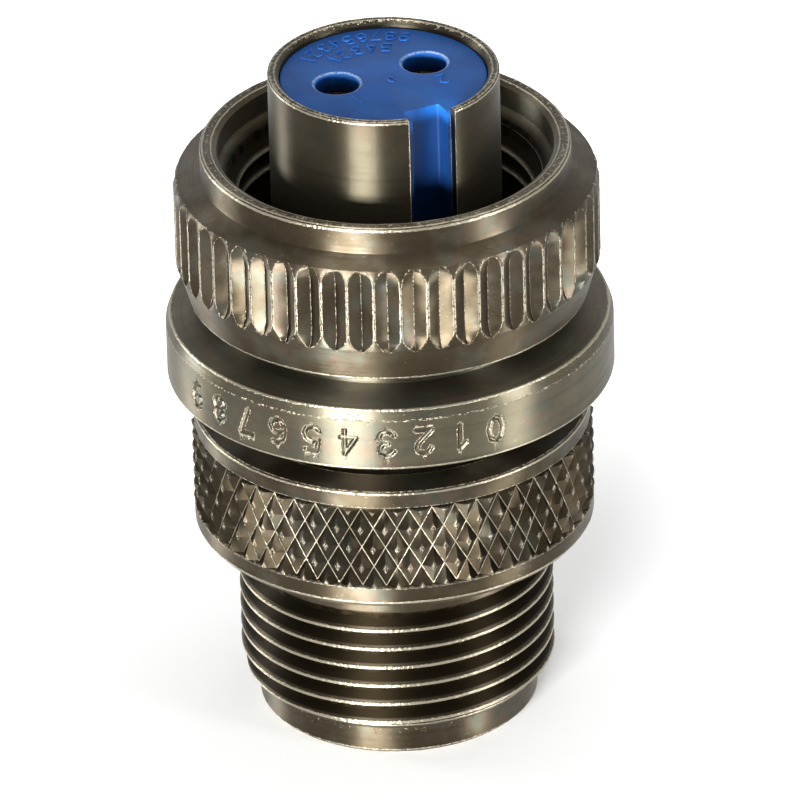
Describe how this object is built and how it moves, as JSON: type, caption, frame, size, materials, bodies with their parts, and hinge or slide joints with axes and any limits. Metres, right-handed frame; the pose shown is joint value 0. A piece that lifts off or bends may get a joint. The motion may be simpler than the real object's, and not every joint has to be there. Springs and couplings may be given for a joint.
{
  "type": "circular connector plug",
  "caption": "Straight military-style circular power plug with a fluted coupling nut, keyed socket barrel and threaded solid end bell.",
  "frame": {"origin": "centre of the end bell's rear face, on the connector's axis", "axes": "+Z along the axis to the mating end; -Y towards the barrel's keyway; +X across the two contacts"},
  "size_m": [0.0224, 0.0224, 0.0351],
  "materials": {
    "olive_plating": "satin olive conductive plating on turned and knurled aluminium",
    "barrel_plating": "satin olive conductive plating on turned aluminium",
    "nut_plating": "satin olive conductive plating on turned and fluted aluminium",
    "spring_steel": "plain spring steel",
    "blue_insert": "moulded blue resilient insulator",
    "contact_brass": "plated copper alloy contact",
    "sleeve_steel": "drawn stainless steel sleeve"
  },
  "bodies": {
    "bell": {"end_bell": "olive_plating"},
    "shell": {"plug_barrel": "barrel_plating", "nut_retaining_ring": "spring_steel", "front_insert": "blue_insert", "rear_insert": "blue_insert", "socket_contact_a": "contact_brass", "socket_contact_b": "contact_brass", "contact_sleeve_a": "sleeve_steel", "contact_sleeve_b": "sleeve_steel", "insert_washer": "spring_steel", "insert_retaining_ring": "spring_steel"},
    "nut": {"coupling_nut": "nut_plating"}
  },
  "joints": [
    {"name": "bell_unscrew", "type": "slide", "parent": "bell", "child": "shell", "axis": [0, 0, 1], "range_m": [0, 0.006]},
    {"name": "nut_turn", "type": "hinge", "parent": "shell", "child": "nut", "pos_m": [0, 0, 0.0271], "axis": [0, 0, 1], "continuous": true}
  ]
}
